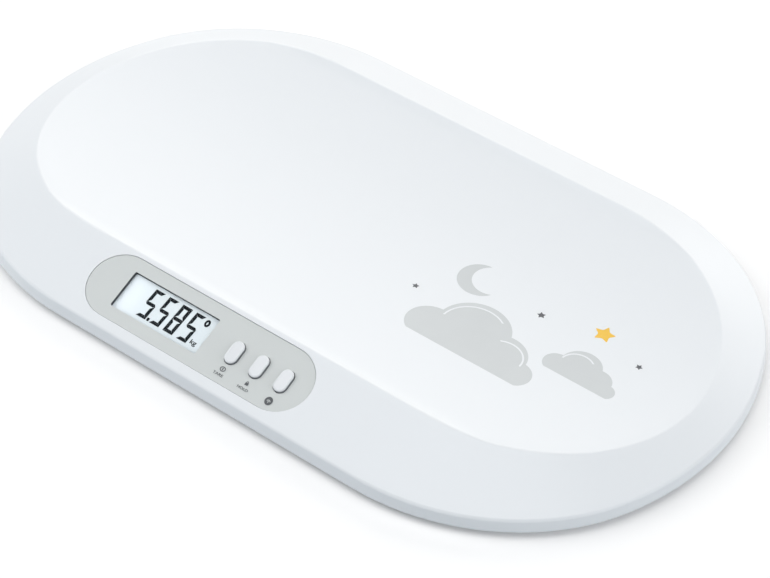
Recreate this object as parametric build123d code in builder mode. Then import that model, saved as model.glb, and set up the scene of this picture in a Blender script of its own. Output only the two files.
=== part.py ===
from build123d import *
from math import asin, atan2, copysign, cos, degrees, radians, sin, sqrt, tan
import os

# Digital baby weighing scale: a moulded tray with a trough-shaped pan stands on four load-cell feet,
# and a control deck with a display and three push buttons is let into the sloping front rim.
# Millimetres. +X runs along the tray, the control deck is on the -Y side, +Z is up, and the origin is
# the point of the floor under the middle of the pan.

os.makedirs("parts", exist_ok=True)

# ---------------------------------------------------------------- tray sizes
rim_length = 535.6  # over the rim's outer edge
rim_width = 345.0
end_arc_excess = 37.4  # radius of the flat end arcs, beyond half the width
side_arc_shortfall = 25.2  # radius of the tighter corner arcs, short of half the width
ground_gap = 5.0  # floor to the bottom of the skirt
skirt_height = 8.7
skirt_flare = 1.5  # the skirt widens this much towards its open bottom, as moulding draft
rim_slope = 24.1  # degrees from level
tray_wall = 2.8
rim_edge_radius = 2.4
crest_radius = 2.6
skirt_foot_radius = 0.8

pan_height = 24.0  # lowest line of the pan above the floor
pan_radius = 755.0  # the pan is a trough, curved across only
lip_inset = 60.5  # from the rim's outer edge to where the pan turns up to its crest
lip_radius = 26.0

rib_thickness = 1.8
rib_gap = 0.8  # between the ribs under the pan and what stands on the base below them
rib_lip_gap = 8.0  # the ribs end this far short of where the pan turns up
rib_margin = 34.0  # and this far inside the rim's outer edge
rib_rows = 2  # ribs along the tray, each side of the middle
rib_row_pitch = 40.0
rib_columns = 3  # ribs across the tray, each side of the middle
rib_column_pitch = 60.0
near = 0.01  # how close to its level an edge is looked for
root = 0.8  # how deep a rib or boss is rooted in the wall it grows from

# ---------------------------------------------------------------- base sizes
base_recess = 1.0  # the base sits this far up inside the skirt
base_wall = 2.4
base_lip_height = 4.0
base_lip_thickness = 2.0
base_fit = 0.4  # between the base and the inside of the skirt
stiffener_height = 1.6
stiffener_thickness = 1.6
stiffener_inset = 62.8  # outer stiffeners, from the rim's ends
stiffener_length = 120.0
cross_stiffener_y = 85.0

corner_post_inset_x = 117.8  # screw posts, from the rim's outer edge
corner_post_inset_y = 34.5
side_post_inset = 25.5
end_post_inset = 29.8
side_post_x = 90.0
inner_post_x = 75.0
post_radius = 4.6
post_height = 6.0  # base underside to the top of each screw post
boss_radius = 4.0
screw_head_radius = 2.8
screw_head_height = 1.9
screw_shank_radius = 1.4
screw_length = 8.0
thread_clearance = 0.05
screw_clearance = 0.3
screw_pocket_radius = 3.4
screw_web = 2.0  # material between the screw's head and the top of its post
screw_recess_share = 0.6  # of the head's radius, each arm of the cross recess
screw_recess_width = 0.28  # of the head's radius
screw_recess_depth = 0.5
pilot_spare = 0.5  # a pilot hole is this much deeper than its screw reaches

# ---------------------------------------------------------------- feet and load cells
foot_inset_x = 95.8  # from the rim's outer edge
foot_inset_y = 74.5
pocket_radius = 25.2
pocket_wall = 2.2
pocket_roof_thickness = 2.0
pocket_roof_height = 8.2  # base underside to the roof of the pocket
seat_rail_height = 2.2
cell_side = 34.0
cell_thickness = 2.0
cell_arm = 6.0
tongue_width = 10.0
tongue_overhang = 7.0  # the tongue runs this far past the cell's middle
cell_corner = 3.0
cell_screw_radius = 1.35
cell_screw_head_radius = 2.6
cell_screw_head_height = 1.6
cell_screw_length = 5.4
cell_screw_clearance = 0.15
cell_pilot_spare = 0.2
lead_slot_width = 3.2  # in the pocket's wall
gauge_length = 8.0
gauge_width = 7.0
gauge_height = 1.4
gauge_offset = 8.0  # from the cell's middle towards the tongue's root

cup_radius = 22.0
cup_foot_radius = 20.6
cup_bottom = 1.2
cup_floor = 2.0
cup_wall = 1.8
cup_height = 7.4
cup_boss_radius = 4.5
cup_nub_radius = 2.0
cup_nub_height = 1.7
cup_web = 1.4
cup_web_height = 3.4
nub_clearance = 0.1
pad_radius = 17.0
pad_thickness = 2.2
pad_edge_bevel = 0.5
pad_clearance = 0.2

# ---------------------------------------------------------------- control deck sizes
# The deck lies in the rim's own slope. Depths are measured down from the rim's surface.
deck_x = -24.0  # the fascia's middle, along the tray
deck_inset = 26.8  # and in from the rim's outer edge, on the level
fascia_length = 169.8
fascia_width = 44.4
fascia_thickness = 0.8
fascia_recess = 1.2
fascia_fit = 0.25
fascia_edge = 0.2

window_x = -26.5  # from the fascia's middle
window_y = -0.1
window_length = 67.6
window_width = 26.8
window_corner = 1.2
frame_collar_wall = 2.2
frame_collar_fit = 0.3
frame_plate = 1.3  # between the lens above it and the glass below it
frame_flange = 4.0
frame_flange_thickness = 1.2
frame_gap = 0.1  # under the tray's wall
lens_thickness = 0.6
glass_thickness = 2.6  # of both plates
front_glass_thickness = 1.3
glass_step = 3.4  # the front plate overhangs the rear one this far along its two long edges
lens_fit = 0.15
lens_ledge = 1.05  # how far lens and glass reach past the window's edge
backlight_margin = 4.4  # from the glass's long edges, room for the contact strips
backlight_inset = 2.0
strip_length = 60.0
strip_width = 2.0
strip_inset = 1.2
seat_gap = 0.05

button_x = 29.0  # first button, from the fascia's middle
button_y = -0.5
button_pitch = 18.75
button_names = ["power_tare", "hold", "wireless"]
button_length = 16.0
button_width = 8.6
button_rise = 2.0  # above the rim's surface
button_edge_radius = 1.1
button_gap = 0.4
button_travel = 0.5
button_flange = 1.3
button_flange_thickness = 1.0
button_flange_clearance = 0.2  # under the tray's wall
button_stem_radius = 1.6
button_stem_length = 0.4

board_depth = 7.9
board_thickness = 1.6
board_length = 156.0
board_width = 31.0
board_x = 3.0
board_y = -0.5
board_corner = 2.0
board_boss_radius = 2.5
board_boss_places = [(-70, -11), (-70, 10.5), (18.4, -12), (18.4, 11.5), (76.5, -11), (76.5, 10.5)]
board_screw_radius = 1.0
board_screw_head_radius = 2.0
board_screw_head_height = 1.3
board_screw_length = 5.0
board_hole_clearance = 0.2

switch_side = 6.0
switch_height = 2.7
plunger_radius = 1.7
plunger_clearance = 0.1
plunger_length = 1.55
plunger_spare = 0.8  # below the plunger when it is pressed home

chip_side = 10.0
chip_height = 1.4
chip_x = -28.0
chip_y = -3.0
module_length = 16.0
module_width = 12.0
module_height = 2.0
module_x = 52.0
module_y = -5.5
module_shield_margin = 1.0
component_places = [
    (-60, -6), (-52, -6), (-44, -6), (-8, -8), (-2, -8), (4, -8), (10, -8), (26, -2), (33, -2),
]
component_length = 3.2
component_width = 1.6
component_height = 0.9
socket_length = 8.0
socket_width = 5.0
socket_height = 4.0
socket_y = 8.5
socket_places = {
    "front_left": -54.0,
    "rear_left": -40.0,
    "battery": -5.0,
    "rear_right": 8.0,
    "front_right": 34.0,
}

# ---------------------------------------------------------------- battery bay
cell_count = 3
battery_radius = 5.2
battery_length = 44.0
battery_nub_radius = 1.9
battery_nub_height = 0.8
battery_edge_bevel = 0.6
battery_gap = 0.4
bay_y = 45.0
bay_spring_room = 5.4
bay_wall = 1.6
bay_roof = 1.4
bay_headroom = 0.25
contact_thickness = 0.4
contact_width = 7.0
contact_height = 8.6
contact_dimple = 0.4
door_thickness = 1.7
door_fit = 0.3
door_ledge = 2.0
door_gap = 0.1  # between the door and its ledge
hook_width = 7.0
hook_spread = 16.0
hook_height = 1.2
hook_reach = 1.8
hook_thickness = 1.8
hook_gap = 0.2  # between the hook and the base floor that it reaches over
hook_clearance = 0.5
hook_sweep = 4.7  # radius about the hinge that is kept free for the hooks
latch_width = 9.0
latch_thickness = 1.2
latch_height = 5.0
latch_inset = 0.5  # from the door's front edge
latch_barb_height = 1.2
latch_release = 0.35  # the barb stops this far short of the base's edge
bay_collar = 2.4  # thickened floor round the battery opening
bay_collar_height = 1.6
tab_width = 3.0
tab_reach = 1.6  # past the bay's end wall
tab_clearance = 0.2
spring_width = 4.0
spring_rise = 3.5  # half the height of the leaf
spring_bend = 1.2
spring_tip_gap = 0.9  # free end of the leaf, from its plate
grip_radius = 9.0
grip_depth = 1.2
groove_count = 3
groove_pitch = 2.6
groove_length = 20.0
groove_width = 1.0
groove_depth = 0.4
door_corner = 1.5

# ---------------------------------------------------------------- leads
lead_radius = 0.8
lead_gap = 0.1  # between a lead and the floor it lies on
lead_bend = 3.0
lead_slope = 10.0  # length over which a lead comes down to the floor
front_lead_inset = 50.0  # from a front foot's middle to where its lead turns forward
front_lead_run = 22.0  # and how far forward it runs before it turns to its socket
rear_lead_inset = 60.0
rear_lead_run = 14.0  # the rear feet's leads turn this far forward of the front feet's middles
negative_lead_x = 44.0
positive_lead_x = 52.0
positive_lead_y = 74.0
battery_lead_turn = 74.5  # from the rim's front edge
battery_lead_spacing = 3.0
battery_lead_drop = 8.0
clip_length = 4.0
clip_wall = 1.2
clip_height = 2.4
clip_gap = 0.15
clip_rows = [-70.0, -20.0, 30.0, 76.0]

# ---------------------------------------------------------------- worked-out sizes
half_length = rim_length / 2
half_width = rim_width / 2
side_arc_radius = half_width - side_arc_shortfall
end_arc_radius = half_width + end_arc_excess
arc_step = end_arc_radius - side_arc_radius
end_centre_x = half_length - end_arc_radius
flank_end = end_centre_x + sqrt(arc_step**2 - side_arc_shortfall**2)
arc_join = degrees(atan2(side_arc_shortfall, flank_end - end_centre_x))

skirt_top = ground_gap + skirt_height
skirt_draft = degrees(atan2(skirt_flare, skirt_height))
lip_start = half_width - lip_inset
roof_rise = lip_inset * tan(radians(rim_slope))

base_under = ground_gap + base_recess
base_floor = base_under + base_wall
post_top = base_under + post_height
pocket_top = base_under + pocket_roof_height + pocket_roof_thickness
rib_bottom = pocket_top + rib_gap
pocket_roof = base_under + pocket_roof_height
cell_top = pocket_roof - seat_rail_height
cell_under = cell_top - cell_thickness
screw_seat = post_top - screw_web

lip_swing = asin(lip_start / pan_radius)
lip_centre_y = lip_start - lip_radius * sin(lip_swing)
lip_centre_z = pan_height + pan_radius - (pan_radius - lip_radius) * cos(lip_swing)

deck_y = deck_inset - half_width
deck_z = skirt_top + deck_inset * tan(radians(rim_slope))
deck = Plane(
    origin=(deck_x, deck_y, deck_z),
    x_dir=(1, 0, 0),
    z_dir=(0, -sin(radians(rim_slope)), cos(radians(rim_slope))),
)

bay_inner_length = battery_length + battery_nub_height + bay_spring_room
bay_inner_width = cell_count * (2 * battery_radius + battery_gap) + battery_gap
door_length = bay_inner_length + 2 * door_ledge
door_width = bay_inner_width + 2 * door_ledge
door_top = base_under + door_thickness
ledge_under = door_top + door_gap
battery_z = ledge_under + bay_headroom + battery_radius
bay_ceiling = battery_z + battery_radius + bay_headroom
bay_top = bay_ceiling + bay_roof
hinge_y = bay_y + door_width / 2  # the door turns about its rear edge, at its outer face
latch_y = bay_y - door_width / 2
hook_under = base_floor + hook_gap
hook_top = hook_under + hook_height

button_flange_depth = tray_wall + button_flange_clearance
lens_depth = fascia_recess + seat_gap
plate_depth = lens_depth + lens_thickness + seat_gap
window_depth = plate_depth + frame_plate  # underside of the frame's plate
glass_depth = window_depth + seat_gap
glass_back = glass_depth + glass_thickness
frame_back = board_depth - seat_gap
glass_length = window_length + 2 * (lens_ledge - lens_fit)
glass_width = window_width + 2 * (lens_ledge - lens_fit)
plunger_depth = button_flange_depth + button_flange_thickness + button_stem_length + seat_gap
switch_depth = board_depth - switch_height
plunger_well = plunger_depth + plunger_length - switch_depth + button_travel + plunger_spare
board_back = board_depth + board_thickness

lead_z = base_floor + lead_radius + lead_gap
foot_x = half_length - foot_inset_x
foot_y = half_width - foot_inset_y
front_lead_x = foot_x - front_lead_inset
front_lead_y = -foot_y - front_lead_run
rear_lead_x = foot_x - rear_lead_inset
rear_lead_y = -foot_y - rear_lead_run
battery_lead_turn_y = battery_lead_turn - half_width
corner_post_x = half_length - corner_post_inset_x
corner_post_y = half_width - corner_post_inset_y
side_post_y = half_width - side_post_inset
end_post_x = half_length - end_post_inset
outer_stiffener_x = half_length - stiffener_inset
inner_stiffener_x = rear_lead_x - lead_bend - clip_length
post_places = [
    (-corner_post_x, -corner_post_y), (corner_post_x, -corner_post_y),
    (-corner_post_x, corner_post_y), (corner_post_x, corner_post_y),
    (side_post_x, -side_post_y), (0, side_post_y),
    (-end_post_x, 0), (end_post_x, 0), (-inner_post_x, 0), (inner_post_x, 0),
]
cell_opening = cell_side - 2 * cell_arm
cell_screw_y = (cell_side - cell_arm) / 2

foot_places = {
    "front_left": (-foot_x, -foot_y),
    "front_right": (foot_x, -foot_y),
    "rear_left": (-foot_x, foot_y),
    "rear_right": (foot_x, foot_y),
}
cell_screw_places = [(x, y + side * cell_screw_y) for x, y in foot_places.values() for side in (-1, 1)]
cell_pitch = 2 * battery_radius + battery_gap
cell_rows = [bay_y + (n - (cell_count - 1) / 2) * cell_pitch for n in range(cell_count)]
tab_places = [(-bay_inner_length / 2, cell_rows[0]), (bay_inner_length / 2, cell_rows[-1])]
button_places = {name: button_x + n * button_pitch for n, name in enumerate(button_names)}


def skirt_inset(height):
    """How far inside the rim's outer edge the skirt's outer face stands at a height."""
    return -skirt_flare * (skirt_top - height) / skirt_height


def base_inset(height):
    """Where the base's edge stands at a height, just inside the skirt."""
    return skirt_inset(height) + tray_wall / cos(radians(skirt_draft)) + base_fit


def housing_outline(height, inset):
    """The housing's oval, two flanks and two three-arc ends, drawn inset from the rim's outer edge."""
    width = half_width - inset
    with BuildSketch(Plane.XY.offset(height)) as outline:
        with BuildLine():
            Line((0, -width), (flank_end, -width))
            CenterArc((flank_end, -side_arc_shortfall), side_arc_radius - inset, -90, 90 - arc_join)
            CenterArc((end_centre_x, 0), end_arc_radius - inset, -arc_join, 2 * arc_join)
            CenterArc((flank_end, side_arc_shortfall), side_arc_radius - inset, arc_join, 90 - arc_join)
            Line((flank_end, width), (0, width))
            mirror(about=Plane.YZ)
        make_face()
    return outline.sketch


def pan_section(below):
    """The space over the pan, across the tray; below lowers the pan's curve parallel to itself."""
    swing = degrees(lip_swing)
    top = lip_centre_z + lip_radius
    edge = lip_centre_y + lip_radius + below
    with BuildSketch(Plane.YZ) as section:
        with BuildLine():
            CenterArc((0, pan_height + pan_radius), pan_radius + below, -90 - swing, 2 * swing)
            CenterArc((lip_centre_y, lip_centre_z), lip_radius + below, swing - 90, 90 - swing)
            CenterArc((-lip_centre_y, lip_centre_z), lip_radius + below, 180, 90 - swing)
            Polyline((edge, lip_centre_z), (edge, top), (-edge, top), (-edge, lip_centre_z))
        make_face()
    return section.sketch


def under_tray(wall):
    """The hollow under a tray whose walls are this thick."""
    side_wall = wall / cos(radians(skirt_draft))
    roof_start = (ground_gap - skirt_top) / tan(radians(rim_slope)) + wall / sin(radians(rim_slope))
    with BuildPart() as hollow:
        extrude(
            housing_outline(ground_gap, skirt_inset(ground_gap) + side_wall),
            amount=skirt_height + roof_rise,
            taper=skirt_draft,
        )
        extrude(
            housing_outline(ground_gap, roof_start),
            amount=skirt_height + roof_rise - wall,
            taper=90 - rim_slope,
            mode=Mode.INTERSECT,
        )
        extrude(pan_section(wall), amount=half_length, both=True, mode=Mode.SUBTRACT)
    return hollow.part


def below_deck(depth):
    """The plane parallel to the rim's slope at a depth below its surface."""
    return deck.offset(-depth)


def on_deck(depth):
    """Picks the edges that lie in the plane at a depth below the rim's surface."""
    plane = below_deck(depth)
    return lambda edge: all(abs(plane.to_local_coords(edge @ t).Z) < near for t in (0, 0.5, 1))


def screw_set(seat, places, head_radius, head_height, shank_radius, length):
    """Cross-head screws whose heads bear on a plane from below and whose shanks rise through it."""
    arm = 2 * screw_recess_share * head_radius
    with BuildPart() as screws:
        with BuildSketch(seat):
            with Locations(*places):
                Circle(head_radius)
        extrude(amount=-head_height)
        with BuildSketch(seat):
            with Locations(*places):
                Circle(shank_radius)
        extrude(amount=length)
        with BuildSketch(seat.offset(-head_height)):
            with Locations(*places):
                Rectangle(arm, screw_recess_width * head_radius)
                Rectangle(screw_recess_width * head_radius, arm)
        extrude(amount=screw_recess_depth, mode=Mode.SUBTRACT)
    return screws.part


def lead_end(x):
    """Where a lead enters a socket under the board, and the point on the floor that it rises from."""
    mouth = below_deck(board_back + socket_height).from_local_coords(Vector(x, socket_y, 0))
    return mouth, mouth - deck.z_dir * ((mouth.Z - lead_z) / deck.z_dir.Z)


def finish(part, name):
    """Label a piece and write it."""
    part.label = name
    export_step(part, f"parts/{name}.step")


# ================================================================ tray shell
# Moulded in one piece: the rim slopes at one angle all round, and the trough of the pan cuts it off, so
# the crest runs high along the flanks and low across the ends.
hollow = under_tray(tray_wall)
rooted_hollow = under_tray(tray_wall - root)
top_level = skirt_top + roof_rise

with BuildPart() as tray_ribs:
    with BuildSketch(Plane.XY.offset(rib_bottom)):
        with Locations(*[(0, row * rib_row_pitch) for row in range(-rib_rows, rib_rows + 1) if row]):
            Rectangle(rim_length, rib_thickness)
        with Locations(*[(n * rib_column_pitch, 0) for n in range(-rib_columns, rib_columns + 1) if n]):
            Rectangle(rib_thickness, rim_width)
        Rectangle(rim_length, 2 * (lip_start - rib_lip_gap), mode=Mode.INTERSECT)
        add(housing_outline(rib_bottom, rib_margin), mode=Mode.INTERSECT)
    extrude(amount=top_level - rib_bottom)
    with BuildSketch(Plane.XY.offset(rib_bottom)):
        with Locations((0, bay_y)):
            Rectangle(
                bay_inner_length + 2 * (bay_wall + rib_gap),
                bay_inner_width + 2 * (bay_wall + rib_gap),
            )
    extrude(amount=bay_top + rib_gap - rib_bottom, mode=Mode.SUBTRACT)
    with BuildSketch(Plane.XY.offset(post_top)):
        with Locations(*post_places):
            Circle(boss_radius)
    extrude(amount=top_level - post_top)
    with BuildSketch(below_deck(board_depth)):
        with Locations(*board_boss_places):
            Circle(board_boss_radius)
    extrude(amount=board_depth)
    add(rooted_hollow, mode=Mode.INTERSECT)

with BuildPart() as tray_shell:
    extrude(
        housing_outline(ground_gap, skirt_inset(ground_gap)),
        amount=skirt_height,
        taper=skirt_draft,
    )
    extrude(housing_outline(skirt_top, 0), amount=roof_rise, taper=90 - rim_slope)
    rim_edge = tray_shell.edges().filter_by_position(Axis.Z, skirt_top - near, skirt_top + near)
    fillet(rim_edge, rim_edge_radius)
    foot_edge = tray_shell.edges().filter_by_position(Axis.Z, ground_gap - near, ground_gap + near)
    fillet(foot_edge, skirt_foot_radius)
    extrude(pan_section(0), amount=half_length, both=True, mode=Mode.SUBTRACT)
    crest = tray_shell.edges().filter_by(
        lambda edge: edge.bounding_box().min.Z > pan_height - near
        and abs(abs(edge.center().Y) - lip_start) > near
    )
    fillet(crest, crest_radius)
    add(hollow, mode=Mode.SUBTRACT)
    add(tray_ribs.part)

    # Pilot holes for the housing screws, from the foot of each boss.
    with BuildSketch(Plane.XY.offset(post_top)):
        with Locations(*post_places):
            Circle(screw_shank_radius + thread_clearance)
    extrude(amount=screw_seat + screw_length + pilot_spare - post_top, mode=Mode.SUBTRACT)
    with BuildSketch(below_deck(board_depth)):
        with Locations(*board_boss_places):
            Circle(board_screw_radius + thread_clearance)
    extrude(amount=board_screw_length - board_thickness + pilot_spare, mode=Mode.SUBTRACT)

    # The control deck: a shallow recess for the fascia, with the display's and the buttons' openings.
    with BuildSketch(below_deck(fascia_recess)):
        SlotOverall(fascia_length + 2 * fascia_fit, fascia_width + 2 * fascia_fit)
    extrude(amount=fascia_recess + root, mode=Mode.SUBTRACT)
    with BuildSketch(below_deck(tray_wall + root)):
        with Locations((window_x, window_y)):
            RectangleRounded(
                window_length + 2 * (frame_collar_wall + frame_collar_fit),
                window_width + 2 * (frame_collar_wall + frame_collar_fit),
                window_corner + frame_collar_wall + frame_collar_fit,
            )
        with Locations(*[(x, button_y) for x in button_places.values()]):
            SlotOverall(button_length + 2 * button_gap, button_width + 2 * button_gap, rotation=90)
    extrude(amount=tray_wall + 2 * root, mode=Mode.SUBTRACT)
finish(tray_shell.part, "tray_shell")

# ================================================================ base shell
# A flat moulding that closes the tray from below: four round pockets take the feet and their load
# cells, a box takes the cells, and ten posts carry the housing screws.
with BuildPart() as base_shell:
    extrude(
        housing_outline(base_under, base_inset(base_under)),
        amount=base_lip_height,
        taper=skirt_draft,
    )
    extrude(
        housing_outline(base_floor, base_inset(base_floor) + base_lip_thickness),
        amount=base_lip_height,
        taper=skirt_draft,
        mode=Mode.SUBTRACT,
    )
    with BuildSketch(Plane.XY.offset(base_floor)):
        for x in (outer_stiffener_x, inner_stiffener_x):
            with Locations((-x, 0), (x, 0)):
                Rectangle(stiffener_thickness, stiffener_length)
        with Locations((0, cross_stiffener_y)):
            Rectangle(2 * (inner_stiffener_x - clip_length), stiffener_thickness)
    extrude(amount=stiffener_height)
    with BuildSketch(Plane.XY.offset(base_under)):
        with Locations(*post_places):
            Circle(post_radius)
    extrude(amount=post_height)
    with BuildSketch(Plane.XY.offset(base_under)):
        with Locations(*foot_places.values()):
            Circle(pocket_radius + pocket_wall)
    extrude(amount=pocket_top - base_under)
    with BuildSketch(Plane.XY.offset(base_floor)):
        with Locations((0, bay_y)):
            Rectangle(
                door_length + 2 * (door_fit + bay_collar),
                door_width + 2 * (door_fit + bay_collar),
            )
    extrude(amount=bay_collar_height)
    with BuildSketch(Plane.XY.offset(base_floor)):
        with Locations((0, bay_y)):
            Rectangle(bay_inner_length + 2 * bay_wall, bay_inner_width + 2 * bay_wall)
    extrude(amount=bay_top - base_floor)

    # Feet: each pocket is open below, with two rails under its roof that carry the load cell.
    with BuildSketch(Plane.XY.offset(base_under)):
        with Locations(*foot_places.values()):
            Circle(pocket_radius)
    extrude(amount=pocket_roof_height, mode=Mode.SUBTRACT)
    with BuildSketch(Plane.XY.offset(cell_top)):
        with Locations(*cell_screw_places):
            Rectangle(cell_side, cell_arm)
    extrude(amount=seat_rail_height)
    with BuildSketch(Plane.XY.offset(cell_top)):
        with Locations(*cell_screw_places):
            Circle(cell_screw_radius + thread_clearance)
    extrude(amount=cell_screw_length - cell_thickness + cell_pilot_spare, mode=Mode.SUBTRACT)
    with BuildSketch(Plane.XY.offset(cell_top)):
        with Locations(*[(x - copysign(pocket_radius, x), y) for x, y in foot_places.values()]):
            Rectangle(3 * pocket_wall, lead_slot_width)
    extrude(amount=seat_rail_height, mode=Mode.SUBTRACT)

    # Housing screws: a sunk seat from below and a clearance hole through the web above it.
    with BuildSketch(Plane.XY.offset(base_under)):
        with Locations(*post_places):
            Circle(screw_pocket_radius)
    extrude(amount=screw_seat - base_under, mode=Mode.SUBTRACT)
    with BuildSketch(Plane.XY.offset(base_under)):
        with Locations(*post_places):
            Circle(screw_shank_radius + screw_clearance)
    extrude(amount=post_height, mode=Mode.SUBTRACT)

    # Battery bay: the box, the ledge that the door closes against, and the finger recess.
    with BuildSketch(Plane.XY.offset(base_under)):
        with Locations((0, bay_y)):
            RectangleRounded(door_length + 2 * door_fit, door_width + 2 * door_fit, door_corner + door_fit)
    extrude(amount=ledge_under - base_under, mode=Mode.SUBTRACT)
    with BuildSketch(Plane.XY.offset(base_under)):
        with Locations((0, bay_y)):
            Rectangle(bay_inner_length, bay_inner_width)
    extrude(amount=bay_ceiling - base_under, mode=Mode.SUBTRACT)
    with BuildSketch(Plane.XY.offset(base_under)):
        with Locations((0, latch_y)):
            Circle(grip_radius)
    extrude(amount=grip_depth, mode=Mode.SUBTRACT)

    # Slots for the door's two hooks and its latch.
    with BuildSketch(Plane.XY.offset(base_floor)):
        with Locations((-hook_spread, hinge_y), (hook_spread, hinge_y)):
            Rectangle(hook_width + 2 * hook_clearance, 2 * hook_sweep)
    extrude(amount=hook_sweep, mode=Mode.SUBTRACT)
    with BuildSketch(Plane.XY.offset(ledge_under)):
        with Locations((-hook_spread, hinge_y), (hook_spread, hinge_y)):
            Rectangle(hook_width + 2 * hook_clearance, hook_sweep, align=(Align.CENTER, Align.MAX))
    extrude(amount=base_floor - ledge_under, mode=Mode.SUBTRACT)
    with BuildSketch(Plane.XY.offset(ledge_under)):
        with Locations((0, latch_y - door_fit)):
            Rectangle(
                latch_width + 2 * hook_clearance,
                door_fit + door_ledge + root,
                align=(Align.CENTER, Align.MIN),
            )
    extrude(amount=latch_height + hook_clearance, mode=Mode.SUBTRACT)

    # Slots for the solder tabs of the two end contacts.
    with BuildSketch(Plane.XY.offset(battery_z - contact_thickness / 2 - tab_clearance)):
        with Locations(*tab_places):
            Rectangle(4 * bay_wall, tab_width + 2 * tab_clearance)
    extrude(amount=contact_thickness + 2 * tab_clearance, mode=Mode.SUBTRACT)

    # Clips that hold the rear feet's leads down.
    clip_reach = lead_radius + clip_gap + clip_wall / 2
    with BuildSketch(Plane.XY.offset(base_floor)):
        for column in (-rear_lead_x, rear_lead_x):
            with Locations(*[(column + side * clip_reach, y) for y in clip_rows for side in (-1, 1)]):
                Rectangle(clip_wall, clip_length)
    extrude(amount=clip_height)
finish(base_shell.part, "base_shell")

# ================================================================ control deck
with BuildPart() as control_fascia:
    with BuildSketch(below_deck(fascia_recess)):
        SlotOverall(fascia_length, fascia_width)
    extrude(amount=fascia_thickness)
    fillet(control_fascia.edges().filter_by(on_deck(fascia_recess - fascia_thickness)), fascia_edge)
    with BuildSketch(below_deck(fascia_recess)):
        with Locations((window_x, window_y)):
            RectangleRounded(window_length, window_width, window_corner)
        with Locations(*[(x, button_y) for x in button_places.values()]):
            SlotOverall(button_length + 2 * button_gap, button_width + 2 * button_gap, rotation=90)
    extrude(amount=fascia_thickness, mode=Mode.SUBTRACT)
finish(control_fascia.part, "control_fascia")

# The display's frame stands through the tray's opening, with a flange under the tray's wall. The lens
# lies in its upper rebate under the fascia's edge, and the glass is held up against its plate.
with BuildPart() as display_frame:
    with BuildSketch(below_deck(frame_back)):
        with Locations((window_x, window_y)):
            RectangleRounded(
                window_length + 2 * frame_collar_wall,
                window_width + 2 * frame_collar_wall,
                window_corner + frame_collar_wall,
            )
    extrude(amount=frame_back - fascia_recess - seat_gap)
    with BuildSketch(below_deck(tray_wall + frame_gap)):
        with Locations((window_x, window_y)):
            RectangleRounded(
                window_length + 2 * (frame_collar_wall + frame_flange),
                window_width + 2 * (frame_collar_wall + frame_flange),
                window_corner + frame_collar_wall + frame_flange,
            )
    extrude(amount=-frame_flange_thickness)
    for floor, height in ((frame_back, frame_back - window_depth), (plate_depth, plate_depth)):
        with BuildSketch(below_deck(floor)):
            with Locations((window_x, window_y)):
                Rectangle(window_length + 2 * lens_ledge, window_width + 2 * lens_ledge)
        extrude(amount=height, mode=Mode.SUBTRACT)
    with BuildSketch(below_deck(window_depth)):
        with Locations((window_x, window_y)):
            RectangleRounded(window_length, window_width, window_corner)
    extrude(amount=frame_plate, mode=Mode.SUBTRACT)
finish(display_frame.part, "display_frame")

with BuildPart() as display_window:
    with BuildSketch(below_deck(lens_depth)):
        with Locations((window_x, window_y)):
            Rectangle(glass_length, glass_width)
    extrude(amount=-lens_thickness)
finish(display_window.part, "display_window")

# Two glass plates; the front one overhangs, and its contacts face the board along both long edges.
with BuildPart() as lcd_glass:
    with BuildSketch(below_deck(glass_depth)):
        with Locations((window_x, window_y)):
            Rectangle(glass_length, glass_width)
    extrude(amount=-front_glass_thickness)
    with BuildSketch(below_deck(glass_depth)):
        with Locations((window_x, window_y)):
            Rectangle(glass_length, glass_width - 2 * glass_step)
    extrude(amount=-glass_thickness)
finish(lcd_glass.part, "lcd_glass")

with BuildPart() as display_backlight:
    with BuildSketch(below_deck(frame_back)):
        with Locations((window_x, window_y)):
            Rectangle(glass_length - 2 * backlight_inset, glass_width - 2 * backlight_margin)
    extrude(amount=frame_back - glass_back - seat_gap)
finish(display_backlight.part, "display_backlight")

with BuildPart() as contact_strips:
    strip_y = glass_width / 2 - strip_inset - strip_width / 2
    with BuildSketch(below_deck(frame_back)):
        with Locations((window_x, window_y - strip_y), (window_x, window_y + strip_y)):
            Rectangle(strip_length, strip_width)
    extrude(amount=frame_back - glass_depth - front_glass_thickness - seat_gap)
finish(contact_strips.part, "contact_strips")

# ================================================================ buttons and their switches
for name, x in button_places.items():
    with BuildPart() as button:
        with BuildSketch(below_deck(button_flange_depth)):
            with Locations((x, button_y)):
                SlotOverall(button_length, button_width, rotation=90)
        extrude(amount=button_flange_depth + button_rise)
        fillet(button.edges().filter_by(on_deck(-button_rise)), button_edge_radius)
        with BuildSketch(below_deck(button_flange_depth)):
            with Locations((x, button_y)):
                SlotOverall(
                    button_length + 2 * button_flange,
                    button_width + 2 * button_flange,
                    rotation=90,
                )
        extrude(amount=-button_flange_thickness)
        with BuildSketch(below_deck(button_flange_depth + button_flange_thickness)):
            with Locations((x, button_y)):
                Circle(button_stem_radius)
        extrude(amount=-button_stem_length)
    finish(button.part, f"{name}_button")

    with BuildPart() as plunger:
        with BuildSketch(below_deck(plunger_depth)):
            with Locations((x, button_y)):
                Circle(plunger_radius)
        extrude(amount=-plunger_length)
    finish(plunger.part, f"{name}_plunger")

    with BuildPart() as switch:
        with BuildSketch(below_deck(board_depth)):
            with Locations((x, button_y)):
                Rectangle(switch_side, switch_side)
        extrude(amount=switch_height)
        with BuildSketch(below_deck(switch_depth)):
            with Locations((x, button_y)):
                Circle(plunger_radius + plunger_clearance)
        extrude(amount=-plunger_well, mode=Mode.SUBTRACT)
    finish(switch.part, f"{name}_switch")

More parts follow.
